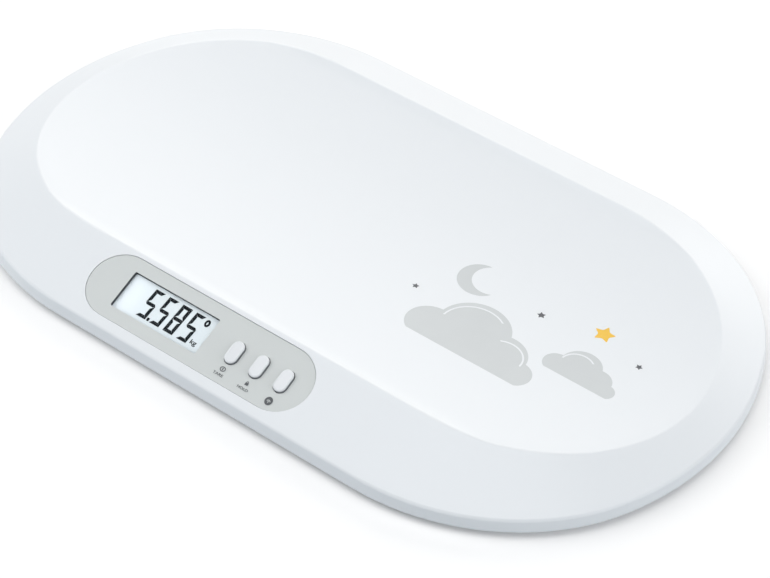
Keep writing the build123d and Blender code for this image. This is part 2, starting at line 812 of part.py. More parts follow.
# ================================================================ main board
with BuildPart() as main_board:
    with BuildSketch(below_deck(board_back)):
        with Locations((board_x, board_y)):
            RectangleRounded(board_length, board_width, board_corner)
        with Locations(*board_boss_places):
            Circle(board_screw_radius + board_hole_clearance, mode=Mode.SUBTRACT)
    extrude(amount=board_thickness)
finish(main_board.part, "main_board")

with BuildPart() as controller_chip:
    with BuildSketch(below_deck(board_back)):
        with Locations((chip_x, chip_y)):
            Rectangle(chip_side, chip_side)
    extrude(amount=-chip_height)
finish(controller_chip.part, "controller_chip")

with BuildPart() as wireless_module:
    with BuildSketch(below_deck(board_back)):
        with Locations((module_x, module_y)):
            Rectangle(module_length, module_width)
    extrude(amount=-module_height / 2)
    with BuildSketch(below_deck(board_back)):
        with Locations((module_x, module_y)):
            Rectangle(module_length - 2 * module_shield_margin, module_width - 2 * module_shield_margin)
    extrude(amount=-module_height)
finish(wireless_module.part, "wireless_module")

with BuildPart() as board_components:
    with BuildSketch(below_deck(board_back)):
        with Locations(*component_places):
            Rectangle(component_length, component_width)
    extrude(amount=-component_height)
finish(board_components.part, "board_components")

with BuildPart() as lead_sockets:
    with BuildSketch(below_deck(board_back)):
        with Locations(*[(x, socket_y) for x in socket_places.values()]):
            Rectangle(socket_length, socket_width)
    extrude(amount=-socket_height)
finish(lead_sockets.part, "lead_sockets")

# ================================================================ load cells and feet
for name, (x, y) in foot_places.items():
    side = copysign(1, x)

    with BuildPart() as load_cell:
        with BuildSketch(Plane.XY.offset(cell_under)):
            with Locations((x, y)):
                RectangleRounded(cell_side, cell_side, cell_corner)
                Rectangle(cell_opening, cell_opening, mode=Mode.SUBTRACT)
            with Locations((x - side * (cell_opening / 2 - tongue_overhang) / 2, y)):
                Rectangle(cell_opening / 2 + tongue_overhang, tongue_width)
            with Locations((x, y)):
                Circle(cup_nub_radius + nub_clearance, mode=Mode.SUBTRACT)
            with Locations((x, y - cell_screw_y), (x, y + cell_screw_y)):
                Circle(cell_screw_radius + cell_screw_clearance, mode=Mode.SUBTRACT)
        extrude(amount=cell_thickness)
    finish(load_cell.part, f"load_cell_{name}")

    # The cup's boss bears on the tongue's underside, and its nub stands in the tongue's hole.
    cup_top = cup_bottom + cup_height
    cup_inside = cup_bottom + cup_floor
    with BuildPart() as foot_cup:
        with BuildSketch(Plane(origin=(x, y, 0), x_dir=(1, 0, 0), z_dir=(0, -1, 0))):
            with BuildLine():
                Polyline(
                    (0, pad_thickness),
                    (pad_radius + pad_clearance, pad_thickness),
                    (pad_radius + pad_clearance, cup_bottom),
                    (cup_foot_radius, cup_bottom),
                    (cup_radius, cup_top),
                    (cup_radius - cup_wall, cup_top),
                    (cup_foot_radius - cup_wall, cup_inside),
                    (cup_boss_radius, cup_inside),
                    (cup_boss_radius, cell_under),
                    (cup_nub_radius, cell_under),
                    (cup_nub_radius, cell_under + cup_nub_height),
                    (0, cell_under + cup_nub_height),
                    close=True,
                )
            make_face()
        revolve(axis=Axis((x, y, 0), (0, 0, 1)))
        with BuildSketch(Plane.XY.offset(cup_inside - cup_floor / 4)):
            with Locations((x, y)):
                for turn in (45, 135):
                    Rectangle(2 * cup_foot_radius - cup_wall, cup_web, rotation=turn)
        extrude(amount=cup_web_height)
    finish(foot_cup.part, f"foot_cup_{name}")

    with BuildPart() as foot_pad:
        with BuildSketch():
            with Locations((x, y)):
                Circle(pad_radius)
        extrude(amount=pad_thickness)
        chamfer(foot_pad.edges().filter_by_position(Axis.Z, -near, near), pad_edge_bevel)
    finish(foot_pad.part, f"foot_pad_{name}")

with BuildPart() as strain_gauges:
    with BuildSketch(Plane.XY.offset(cell_top)):
        with Locations(*[(x - copysign(gauge_offset, x), y) for x, y in foot_places.values()]):
            Rectangle(gauge_length, gauge_width)
    extrude(amount=gauge_height)
finish(strain_gauges.part, "strain_gauges")

# ================================================================ screws
finish(
    screw_set(
        Plane.XY.offset(screw_seat), post_places,
        screw_head_radius, screw_head_height, screw_shank_radius, screw_length,
    ),
    "housing_screws",
)
finish(
    screw_set(
        Plane.XY.offset(cell_under), cell_screw_places,
        cell_screw_head_radius, cell_screw_head_height, cell_screw_radius, cell_screw_length,
    ),
    "load_cell_screws",
)
finish(
    screw_set(
        below_deck(board_back), board_boss_places,
        board_screw_head_radius, board_screw_head_height, board_screw_radius, board_screw_length,
    ),
    "board_screws",
)

# ================================================================ batteries
# Three cells in series lie side by side, turned end for end.
bay_end = bay_inner_length / 2
for n, y in enumerate(cell_rows):
    way = (-1) ** n
    tip_x = way * (bay_end - contact_thickness - contact_dimple)
    with BuildPart() as battery_cell:
        with BuildSketch(Plane.YZ.offset(tip_x)):
            with Locations((y, battery_z)):
                Circle(battery_nub_radius)
        extrude(amount=-way * (battery_nub_height + root))
        with BuildSketch(Plane.YZ.offset(tip_x - way * battery_nub_height)):
            with Locations((y, battery_z)):
                Circle(battery_radius)
        extrude(amount=-way * battery_length)
        rims = battery_cell.edges().filter_by(GeomType.CIRCLE).filter_by(
            lambda edge: abs(edge.radius - battery_radius) < near
        )
        chamfer(rims, battery_edge_bevel)
    finish(battery_cell.part, f"battery_cell_{n + 1}")

# End contacts and the two that bridge neighbouring cells. A flat with a dimple meets a cell's nub, and
# a bent leaf presses on its flat end.
leaf_reach = bay_inner_length - contact_thickness - contact_dimple - battery_nub_height - battery_length
for name, end, rows in (
    ("contact_bridge_right", 1, [0, 1]),
    ("contact_bridge_left", -1, [1, 2]),
    ("contact_negative", -1, [0]),
    ("contact_positive", 1, [2]),
):
    wall_x = end * bay_end
    centre_y = sum(cell_rows[row] for row in rows) / len(rows)
    with BuildPart() as contact:
        with BuildSketch(Plane.YZ.offset(wall_x)):
            with Locations((centre_y, battery_z)):
                Rectangle(contact_width + (len(rows) - 1) * cell_pitch, contact_height)
        extrude(amount=-end * contact_thickness)
        for row in rows:
            if (-1) ** row == end:
                with BuildSketch(Plane.YZ.offset(wall_x)):
                    with Locations((cell_rows[row], battery_z)):
                        Circle(battery_nub_radius)
                extrude(amount=-end * (contact_thickness + contact_dimple))
            else:
                leaf_x = leaf_reach - seat_gap - contact_thickness / 2
                with BuildSketch(Plane.XZ.offset(-cell_rows[row])):
                    with BuildLine() as leaf:
                        FilletPolyline(
                            (wall_x - end * contact_thickness / 2, battery_z - spring_rise),
                            (wall_x - end * leaf_x, battery_z),
                            (wall_x - end * (spring_tip_gap + contact_thickness), battery_z + spring_rise),
                            radius=spring_bend,
                        )
                    trace(line_width=contact_thickness)
                extrude(amount=spring_width / 2, both=True)
        if len(rows) == 1:
            with BuildSketch(Plane.XY.offset(battery_z - contact_thickness / 2)):
                with Locations((wall_x + end * (bay_wall + tab_reach) / 2, cell_rows[rows[0]])):
                    Rectangle(bay_wall + tab_reach + contact_thickness, tab_width)
            extrude(amount=contact_thickness)
    finish(contact.part, name)

# The door turns down about its rear edge on two hooks that reach over the base's floor.
with BuildPart() as battery_door:
    with BuildSketch(Plane.XY.offset(base_under)):
        with Locations((0, bay_y)):
            RectangleRounded(door_length, door_width, door_corner)
    extrude(amount=door_thickness)
    with BuildSketch(Plane.XY.offset(base_under)):
        with Locations(*[(0, latch_y + grip_radius + n * groove_pitch) for n in range(groove_count)]):
            SlotOverall(groove_length, groove_width)
    extrude(amount=groove_depth, mode=Mode.SUBTRACT)
    with BuildSketch(Plane.XY.offset(door_top)):
        with Locations((-hook_spread, hinge_y), (hook_spread, hinge_y)):
            Rectangle(hook_width, hook_thickness, align=(Align.CENTER, Align.MAX))
    extrude(amount=hook_top - door_top)
    with BuildSketch(Plane.XY.offset(hook_under)):
        with Locations((-hook_spread, hinge_y), (hook_spread, hinge_y)):
            Rectangle(hook_width, hook_reach, align=(Align.CENTER, Align.MIN))
    extrude(amount=hook_height)
    with BuildSketch(Plane.XY.offset(door_top)):
        with Locations((0, latch_y + latch_inset)):
            Rectangle(latch_width, latch_thickness, align=(Align.CENTER, Align.MIN))
    extrude(amount=latch_height)
    with BuildSketch(Plane.XY.offset(hook_under)):
        with Locations((0, latch_y + latch_inset)):
            Rectangle(
                latch_width,
                latch_inset + door_fit - latch_release,
                align=(Align.CENTER, Align.MAX),
            )
    extrude(amount=latch_barb_height)
finish(battery_door.part, "battery_door")

# ================================================================ leads
# Each load cell's lead leaves its gauge, comes down to the base's floor and runs to a socket under the
# board, which it enters square on.
lead_start_z = cell_top + lead_radius + lead_gap
with BuildPart() as load_cell_leads:
    for name, (x, y) in foot_places.items():
        side = copysign(1, x)
        column = front_lead_x if y < 0 else rear_lead_x
        row = front_lead_y if y < 0 else rear_lead_y
        slope_end = foot_x - pocket_radius - pocket_wall - 2 * lead_bend - lead_slope
        mouth, drop = lead_end(socket_places[name])
        with BuildLine() as route:
            FilletPolyline(
                (x - side * (gauge_offset + gauge_length / 2), y, lead_start_z),
                (side * (slope_end + lead_slope), y, lead_start_z),
                (side * slope_end, y, lead_z),
                (side * column, y, lead_z),
                (side * column, row, lead_z),
                (mouth.X, row, lead_z),
                drop,
                mouth,
                radius=lead_bend,
            )
        with BuildSketch(Plane(origin=route.line @ 0, z_dir=route.line % 0)) as lead_section:
            Circle(lead_radius)
        sweep(lead_section.sketch, path=route.line)
finish(load_cell_leads.part, "load_cell_leads")

with BuildPart() as battery_leads:
    for (tab_x, tab_y), turns, spread in (
        (tab_places[0], [(-negative_lead_x, cell_rows[0])], battery_lead_spacing / 2),
        (
            tab_places[1],
            [
                (positive_lead_x, cell_rows[-1]),
                (positive_lead_x, positive_lead_y),
                (-positive_lead_x, positive_lead_y),
            ],
            -battery_lead_spacing / 2,
        ),
    ):
        side = copysign(1, tab_x)
        tab_end = tab_x + side * (bay_wall + tab_reach + contact_thickness / 2)
        mouth, drop = lead_end(socket_places["battery"] + spread)
        last_x = turns[-1][0]
        with BuildLine() as route:
            FilletPolyline(
                (tab_end, tab_y, battery_z),
                (tab_end + side * lead_bend, tab_y, battery_z),
                (tab_end + side * (lead_bend + battery_lead_drop), tab_y, lead_z),
                *[(turn_x, turn_y, lead_z) for turn_x, turn_y in turns],
                (last_x, battery_lead_turn_y, lead_z),
                (mouth.X, battery_lead_turn_y - battery_lead_drop, lead_z),
                drop,
                mouth,
                radius=lead_bend,
            )
        with BuildSketch(Plane(origin=route.line @ 0, z_dir=route.line % 0)) as lead_section:
            Circle(lead_radius)
        sweep(lead_section.sketch, path=route.line)
finish(battery_leads.part, "battery_leads")
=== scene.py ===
import math

import bpy
from mathutils import Matrix, Vector


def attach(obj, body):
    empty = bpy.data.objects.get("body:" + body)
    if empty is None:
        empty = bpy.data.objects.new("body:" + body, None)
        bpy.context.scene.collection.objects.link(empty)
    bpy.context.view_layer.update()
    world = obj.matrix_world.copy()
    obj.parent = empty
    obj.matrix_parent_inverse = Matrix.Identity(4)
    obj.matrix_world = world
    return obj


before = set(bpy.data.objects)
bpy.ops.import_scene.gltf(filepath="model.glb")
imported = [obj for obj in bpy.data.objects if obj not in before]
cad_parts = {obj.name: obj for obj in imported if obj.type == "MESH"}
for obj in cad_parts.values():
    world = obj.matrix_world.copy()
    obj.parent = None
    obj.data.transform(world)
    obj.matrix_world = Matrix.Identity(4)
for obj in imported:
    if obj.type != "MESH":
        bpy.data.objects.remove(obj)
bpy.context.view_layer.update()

# Camera. A long lens stands high in front of the scale's right end and looks down on the pan.
camera_place = (0.59021, -0.93599, 0.95826)
camera_turn = (48.279, -4.819, 35.804)  # degrees about X, Y and Z
lens_length = 104.35  # mm
frame_width = 36.0  # mm

camera_data = bpy.data.cameras.new("studio_camera")
camera_data.lens = lens_length
camera_data.sensor_width = frame_width
camera_data.clip_start = 0.05
camera_data.clip_end = 20.0
camera = bpy.data.objects.new("studio_camera", camera_data)
camera.location = camera_place
camera.rotation_euler = [math.radians(turn) for turn in camera_turn]
bpy.context.scene.collection.objects.link(camera)
bpy.context.scene.camera = camera

# Studio. A white table top that runs on past the picture's edges under a bluish white tent of light,
# with a tall softbox low behind the scale, a broad lamp above its front and a soft fill at each end.
floor_size = 12.0
floor_lift = 0.15  # of pure white, for what is seen directly or in gloss and glass
floor_seen = (0.93, 0.91, 0.895, 1.0)
floor_nap = (0.94, 0.92, 0.9, 1.0)
floor_bounce = (0.62, 0.665, 0.70, 1.0)  # the cloth is greyer for soft light than it looks
tent_colour = (0.70, 0.86, 1.0, 1.0)
tent_level = 0.15
softbox_colour = (1.0, 0.972, 0.94)
lamp_colour = (0.975, 0.985, 1.0)
softbox_place = Vector((-0.7, 2.7, 1.15))
softbox_width = 4.4
softbox_height = 2.4
softbox_power = 54.0
key_place = Vector((0.05, -0.7, 3.2))
key_side = 3.2
key_power = 49.5
left_fill_place = Vector((-2.0, -1.4, 1.6))
left_fill_side = 2.2
left_fill_power = 42.5
right_fill_place = Vector((3.0, 0.2, 1.2))
right_fill_width = 2.4
right_fill_height = 1.8
right_fill_power = 42.5


def seen_directly(nodes, links):
    """One for a ray from the camera, a mirror or a pane, and nothing for soft light."""
    path = nodes.new("ShaderNodeLightPath")
    either = nodes.new("ShaderNodeMath")
    either.operation = "MAXIMUM"
    any_of_them = nodes.new("ShaderNodeMath")
    any_of_them.operation = "MAXIMUM"
    links.new(path.outputs["Is Camera Ray"], either.inputs[0])
    links.new(path.outputs["Is Glossy Ray"], either.inputs[1])
    links.new(either.outputs["Value"], any_of_them.inputs[0])
    links.new(path.outputs["Is Transmission Ray"], any_of_them.inputs[1])
    return any_of_them.outputs["Value"]


bpy.ops.object.select_all(action="DESELECT")
bpy.ops.mesh.primitive_grid_add(x_subdivisions=4, y_subdivisions=4, size=floor_size, location=(0, 0, 0))
floor = bpy.context.object
floor.name = "studio_floor"
table_white = bpy.data.materials.new("table_white")
table_white.use_nodes = True
nodes, links = table_white.node_tree.nodes, table_white.node_tree.links
surface = nodes["Principled BSDF"]
surface.inputs["Roughness"].default_value = 0.9
surface.inputs["Specular IOR Level"].default_value = 0.0
surface.inputs["Emission Color"].default_value = (1.0, 1.0, 1.0, 1.0)
place = nodes.new("ShaderNodeTexCoord")
cloth = nodes.new("ShaderNodeTexNoise")
cloth.inputs["Scale"].default_value = 3.0
tone = nodes.new("ShaderNodeMix")
tone.data_type = "RGBA"
tone.inputs["A"].default_value = floor_seen
tone.inputs["B"].default_value = floor_nap
links.new(place.outputs["Object"], cloth.inputs["Vector"])
links.new(cloth.outputs["Fac"], tone.inputs["Factor"])
lift = nodes.new("ShaderNodeMath")
lift.operation = "MULTIPLY"
lift.inputs[1].default_value = floor_lift
directly = seen_directly(nodes, links)
shown = nodes.new("ShaderNodeMix")
shown.data_type = "RGBA"
shown.inputs["A"].default_value = floor_bounce
links.new(directly, shown.inputs["Factor"])
links.new(tone.outputs["Result"], shown.inputs["B"])
links.new(shown.outputs["Result"], surface.inputs["Base Color"])
links.new(directly, lift.inputs[0])
links.new(lift.outputs["Value"], surface.inputs["Emission Strength"])
floor.data.materials.append(table_white)

tent = bpy.data.worlds.new("light_tent")
tent.use_nodes = True
bpy.context.scene.world = tent
nodes, links = tent.node_tree.nodes, tent.node_tree.links
cloth_light = nodes["Background"]
cloth_light.inputs["Color"].default_value = tent_colour
cloth_light.inputs["Strength"].default_value = tent_level
white = nodes.new("ShaderNodeBackground")
white.inputs["Color"].default_value = (1.0, 1.0, 1.0, 1.0)
white.inputs["Strength"].default_value = 1.0
either_light = nodes.new("ShaderNodeMixShader")
links.new(seen_directly(nodes, links), either_light.inputs["Fac"])
links.new(cloth_light.outputs["Background"], either_light.inputs[1])
links.new(white.outputs["Background"], either_light.inputs[2])
links.new(either_light.outputs["Shader"], nodes["World Output"].inputs["Surface"])


def hang_lamp(name, place, width, height, power, colour, in_gloss):
    """A square-cut area lamp that faces the middle of the table."""
    data = bpy.data.lights.new(name, "AREA")
    data.shape = "RECTANGLE"
    data.size = width
    data.size_y = height
    data.energy = power
    data.color = colour
    lamp = bpy.data.objects.new(name, data)
    lamp.location = place
    lamp.rotation_euler = (-place).to_track_quat("-Z", "Y").to_euler()
    lamp.visible_camera = False
    lamp.visible_glossy = in_gloss
    bpy.context.scene.collection.objects.link(lamp)


hang_lamp("softbox", softbox_place, softbox_width, softbox_height, softbox_power, softbox_colour, True)
hang_lamp("key_lamp", key_place, key_side, key_side, key_power, lamp_colour, True)
hang_lamp("left_fill", left_fill_place, left_fill_side, left_fill_side, left_fill_power, lamp_colour, False)
hang_lamp(
    "right_fill", right_fill_place, right_fill_width, right_fill_height, right_fill_power, lamp_colour, False
)
bpy.context.scene.view_settings.view_transform = "Standard"

# Tray shell. One large injection moulding in bluish white ABS, satin from a spark-eroded tool that was
# polished on the show side. It snaps over the base and is held from below by the long screws.
tray_white = (0.835, 0.845, 0.85, 1.0)
tray_shade = (0.825, 0.837, 0.845, 1.0)

moulded_skin = bpy.data.node_groups.new("moulded_skin", "ShaderNodeTree")
for label, kind in (
    ("Colour", "NodeSocketColor"), ("Shade", "NodeSocketColor"), ("Flow Scale", "NodeSocketFloat"),
    ("Grain Scale", "NodeSocketFloat"), ("Roughness", "NodeSocketFloat"), ("Spread", "NodeSocketFloat"),
):
    moulded_skin.interface.new_socket(name=label, in_out="INPUT", socket_type=kind)
for label, kind in (
    ("Colour", "NodeSocketColor"), ("Roughness", "NodeSocketFloat"), ("Grain", "NodeSocketFloat"),
):
    moulded_skin.interface.new_socket(name=label, in_out="OUTPUT", socket_type=kind)
nodes, links = moulded_skin.nodes, moulded_skin.links
given = nodes.new("NodeGroupInput")
place = nodes.new("ShaderNodeTexCoord")
flow = nodes.new("ShaderNodeTexNoise")
flow.inputs["Detail"].default_value = 3.0
grain = nodes.new("ShaderNodeTexNoise")
grain.inputs["Detail"].default_value = 2.0
blend = nodes.new("ShaderNodeMix")
blend.data_type = "RGBA"
middle = nodes.new("ShaderNodeMath")
middle.operation = "SUBTRACT"
middle.inputs[1].default_value = 0.5
roughness = nodes.new("ShaderNodeMath")
roughness.operation = "MULTIPLY_ADD"
given_out = nodes.new("NodeGroupOutput")
links.new(place.outputs["Object"], flow.inputs["Vector"])
links.new(place.outputs["Object"], grain.inputs["Vector"])
links.new(given.outputs["Flow Scale"], flow.inputs["Scale"])
links.new(given.outputs["Grain Scale"], grain.inputs["Scale"])
links.new(given.outputs["Colour"], blend.inputs["A"])
links.new(given.outputs["Shade"], blend.inputs["B"])
links.new(flow.outputs["Fac"], blend.inputs["Factor"])
links.new(grain.outputs["Fac"], middle.inputs[0])
links.new(middle.outputs["Value"], roughness.inputs[0])
links.new(given.outputs["Spread"], roughness.inputs[1])
links.new(given.outputs["Roughness"], roughness.inputs[2])
links.new(blend.outputs["Result"], given_out.inputs["Colour"])
links.new(roughness.outputs["Value"], given_out.inputs["Roughness"])
links.new(grain.outputs["Fac"], given_out.inputs["Grain"])


def moulded(name, colour, shade, roughness=0.4, spread=0.1, flow=8.0, grain=2500.0, relief=0.00002):
    """A moulded or sprayed finish: slow changes of tone, fine grain in gloss and relief."""
    material = bpy.data.materials.new(name)
    material.use_nodes = True
    nodes, links = material.node_tree.nodes, material.node_tree.links
    surface = nodes["Principled BSDF"]
    skin = nodes.new("ShaderNodeGroup")
    skin.node_tree = moulded_skin
    skin.inputs["Colour"].default_value = colour
    skin.inputs["Shade"].default_value = shade
    skin.inputs["Flow Scale"].default_value = flow
    skin.inputs["Grain Scale"].default_value = grain
    skin.inputs["Roughness"].default_value = roughness
    skin.inputs["Spread"].default_value = spread
    bump = nodes.new("ShaderNodeBump")
    bump.inputs["Strength"].default_value = 0.5
    bump.inputs["Distance"].default_value = relief
    links.new(skin.outputs["Colour"], surface.inputs["Base Color"])
    links.new(skin.outputs["Roughness"], surface.inputs["Roughness"])
    links.new(skin.outputs["Grain"], bump.inputs["Height"])
    links.new(bump.outputs["Normal"], surface.inputs["Normal"])
    return material


def dress(material, *names):
    """Gives every material slot of the named parts this material."""
    for name in names:
        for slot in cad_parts[name].material_slots:
            slot.material = material


tray_abs = moulded("tray_abs", tray_white, tray_shade, roughness=0.32, spread=0.06, flow=5.0, relief=0.00001)
dress(tray_abs, "tray_shell")

# Base shell and battery door. The same ABS with a duller texture, clipped and screwed up into the tray.
base_abs = moulded(
    "base_abs", (0.76, 0.79, 0.81, 1.0), (0.74, 0.775, 0.80, 1.0), roughness=0.5, spread=0.12, grain=1800.0
)
dress(base_abs, "base_shell", "battery_door")

# Control fascia. A thin silver-grey sheet of polycarbonate, printed from behind and stuck in its recess.
# Its cut edges, round the window and the keys, are painted near-black: painted shade for the gaps and recess
# walls there.
mm = 0.001
deck_slope = math.radians(24.1)
deck = Matrix.Translation((-24.0 * mm, -145.7 * mm, 25.69 * mm)) @ Matrix.Rotation(deck_slope, 4, "X")
painted_edge_shade = (0.06, 0.065, 0.075, 1.0)

fascia_pc = moulded(
    "fascia_pc", (0.66, 0.675, 0.655, 1.0), (0.63, 0.645, 0.625, 1.0), roughness=0.42, spread=0.1, flow=30.0,
    grain=4000.0
)
nodes, links = fascia_pc.node_tree.nodes, fascia_pc.node_tree.links
# Steep cut walls of the fascia take the near-black colour: painted shade.
facing = nodes.new("ShaderNodeNewGeometry")
across = nodes.new("ShaderNodeVectorMath")
across.operation = "DOT_PRODUCT"
across.inputs[1].default_value = deck.to_3x3() @ Vector((0, 0, 1))
cut_edge = nodes.new("ShaderNodeMath")
cut_edge.operation = "LESS_THAN"
cut_edge.inputs[1].default_value = 0.3
edge_shaded = nodes.new("ShaderNodeMix")
edge_shaded.data_type = "RGBA"
edge_shaded.inputs["B"].default_value = painted_edge_shade
links.new(facing.outputs["True Normal"], across.inputs[0])
links.new(across.outputs["Value"], cut_edge.inputs[0])
links.new(cut_edge.outputs["Value"], edge_shaded.inputs["Factor"])
links.new(nodes["Group"].outputs["Colour"], edge_shaded.inputs["A"])
links.new(edge_shaded.outputs["Result"], nodes["Principled BSDF"].inputs["Base Color"])
dress(fascia_pc, "control_fascia")

# Display. A clear lens lies in a black frame under the fascia, with the glass held up against it and a
# diffuser plate below, and two conductive rubber strips carry the contacts down to the board.
# The frame is black plastic, and its dark colour also stands in for the shade on the window's inner walls:
# partly painted shade.
frame_black_and_painted_shade = moulded("frame_black_and_painted_shade", (0.055, 0.06, 0.07, 1.0), (0.045, 0.05, 0.055, 1.0), roughness=0.5)
dress(frame_black_and_painted_shade, "display_frame")

lens_acrylic = bpy.data.materials.new("lens_acrylic")
lens_acrylic.use_nodes = True
nodes, links = lens_acrylic.node_tree.nodes, lens_acrylic.node_tree.links
surface = nodes["Principled BSDF"]
surface.inputs["Base Color"].default_value = (0.98, 0.99, 0.995, 1.0)
surface.inputs["Transmission Weight"].default_value = 1.0
surface.inputs["IOR"].default_value = 1.1
place = nodes.new("ShaderNodeTexCoord")
wipe = nodes.new("ShaderNodeTexNoise")
wipe.inputs["Scale"].default_value = 60.0
haze = nodes.new("ShaderNodeMapRange")
haze.inputs["To Min"].default_value = 0.01
haze.inputs["To Max"].default_value = 0.04
links.new(place.outputs["Object"], wipe.inputs["Vector"])
links.new(wipe.outputs["Fac"], haze.inputs["Value"])
links.new(haze.outputs["Result"], surface.inputs["Roughness"])
dress(lens_acrylic, "display_window")

glass_depth = 3.25 * mm  # of the glass below the rim's surface
painted_light_glass = (0.64, 0.69, 0.72, 1.0)  # painted light: the glass is lighter towards its left end
painted_light_from = -80.0  # mm along the scale, where the painted light is full
painted_light_to = -58.0  # and where it has faded
display_glass = moulded(
    "display_glass", (0.55, 0.595, 0.615, 1.0), (0.525, 0.57, 0.595, 1.0), roughness=0.3, spread=0.05,
    flow=25.0, relief=0.000002
)
nodes, links = display_glass.node_tree.nodes, display_glass.node_tree.links
place = nodes.new("ShaderNodeTexCoord")
along = nodes.new("ShaderNodeSeparateXYZ")
painted_light_end = nodes.new("ShaderNodeMapRange")
painted_light_end.interpolation_type = "SMOOTHSTEP"
painted_light_end.inputs["From Min"].default_value = painted_light_from * mm
painted_light_end.inputs["From Max"].default_value = painted_light_to * mm
painted_light_end.inputs["To Min"].default_value = 1.0
painted_light_end.inputs["To Max"].default_value = 0.0
# The glass turns lighter towards its left end: painted light.
lit = nodes.new("ShaderNodeMix")
lit.data_type = "RGBA"
lit.inputs["B"].default_value = painted_light_glass
links.new(place.outputs["Object"], along.inputs["Vector"])
links.new(along.outputs["X"], painted_light_end.inputs["Value"])
links.new(painted_light_end.outputs["Result"], lit.inputs["Factor"])
links.new(nodes["Group"].outputs["Colour"], lit.inputs["A"])
links.new(lit.outputs["Result"], nodes["Principled BSDF"].inputs["Base Color"])
dress(display_glass, "lcd_glass")

diffuser = moulded("diffuser", (0.80, 0.83, 0.82, 1.0), (0.76, 0.80, 0.79, 1.0), roughness=0.6)
dress(diffuser, "display_backlight")
strip_silicone = moulded(
    "strip_silicone", (0.20, 0.20, 0.21, 1.0), (0.62, 0.62, 0.60, 1.0), roughness=0.7, flow=900.0
)
dress(strip_silicone, "contact_strips")

# Figures on the display. Four figures of seven bars each lean a little; the lit bars of 5.585 are thin
# black fields in the glass, with the unit and a small signal mark at their right.
figure_places = (-39.25, -28.45, -17.65, -6.9)  # of the figures' middles along the deck, mm
figure_middle = 0.5
bar_stroke = 2.35
bar_reach = 5.2  # between the middles of a figure's upright bars
bar_rise = 9.25  # between the middles of its level bars
bar_gap = 0.02
figure_lean = 0.055
ink_height = 0.03 * mm
figures = ("afgcd", "afgcd", "abcdefg", "afgcd")
bar_mitre = 1.7  # strokes that an outer bar's inner side is shorter by
waist_point = 0.46  # strokes that a waist bar's corners are cut back
waist_trim = 0.1  # strokes that it is shortened by
point_x = -34.3  # of the decimal point, at the foot of the first figure
point_width = 1.8
point_round = 0.35

liquid_black = moulded(
    "liquid_black", (0.003, 0.005, 0.007, 1.0), (0.006, 0.009, 0.012, 1.0), roughness=0.35, flow=400.0
)
liquid_black.node_tree.nodes["Principled BSDF"].inputs["Specular IOR Level"].default_value = 0.1


def deselect():
    bpy.ops.object.select_all(action="DESELECT")


def choose(*pieces):
    """Selects these pieces and makes the first the active one."""
    deselect()
    for piece in pieces:
        piece.select_set(True)
    bpy.context.view_layer.objects.active = pieces[0]


def pick(piece, test, kind="VERT"):
    """Selects the vertices or faces that pass the test, in edit mode."""
    bpy.ops.mesh.select_mode(type=kind)
    bpy.ops.mesh.select_all(action="DESELECT")
    bpy.ops.object.mode_set(mode="OBJECT")
    for part in piece.data.vertices if kind == "VERT" else piece.data.polygons:
        part.select = test(part)
    bpy.ops.object.mode_set(mode="EDIT")


def settle(piece, place=None):
    """Puts a piece in its place and takes that place into its mesh."""
    if place is not None:
        piece.matrix_world = place @ piece.matrix_world
    choose(piece)
    bpy.ops.object.transform_apply(location=True, rotation=True, scale=True)


def thicken(piece, depth):
    """Gives a flat field its thickness, down from its face."""
    choose(piece)
    solid = piece.modifiers.new("thickness", "SOLIDIFY")
    solid.thickness = depth
    solid.offset = 1.0
    bpy.ops.object.modifier_apply(modifier=solid.name)


def joined(name, pieces):
    """One piece, with this name, of one piece or more."""
    choose(*pieces)
    if len(pieces) > 1:
        bpy.ops.object.join()
    pieces[0].name = pieces[0].data.name = name
    return pieces[0]


def finish_ink(piece, material, body="scale_body"):
    """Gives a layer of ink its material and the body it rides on."""
    piece.data.materials.clear()
    piece.data.materials.append(material)
    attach(piece, body)


def level_bar(name, waist):
    """A bar of a figure along X: cut back towards the figure's middle, or pointed at both ends."""
    long_side = bar_reach + bar_stroke - 2 * bar_gap
    deselect()
    bpy.ops.mesh.primitive_plane_add(size=mm, location=(0, 0, 0))
    bar = bpy.context.object
    bar.name = name
    bar.scale = (long_side, bar_stroke, 1)
    settle(bar)
    choose(bar)
    bpy.ops.object.mode_set(mode="EDIT")
    if waist:
        bpy.ops.mesh.select_all(action="SELECT")
        bpy.ops.mesh.bevel(offset=bar_stroke * waist_point * mm, affect="VERTICES", clamp_overlap=True)
        bpy.ops.transform.resize(value=(1 - bar_stroke / long_side * waist_trim, 1, 1))
    else:
        pick(bar, lambda corner: corner.co.y < 0)
        bpy.ops.transform.resize(value=((long_side - bar_mitre * bar_stroke) / long_side, 1, 1))
    bpy.ops.object.mode_set(mode="OBJECT")
    return bar


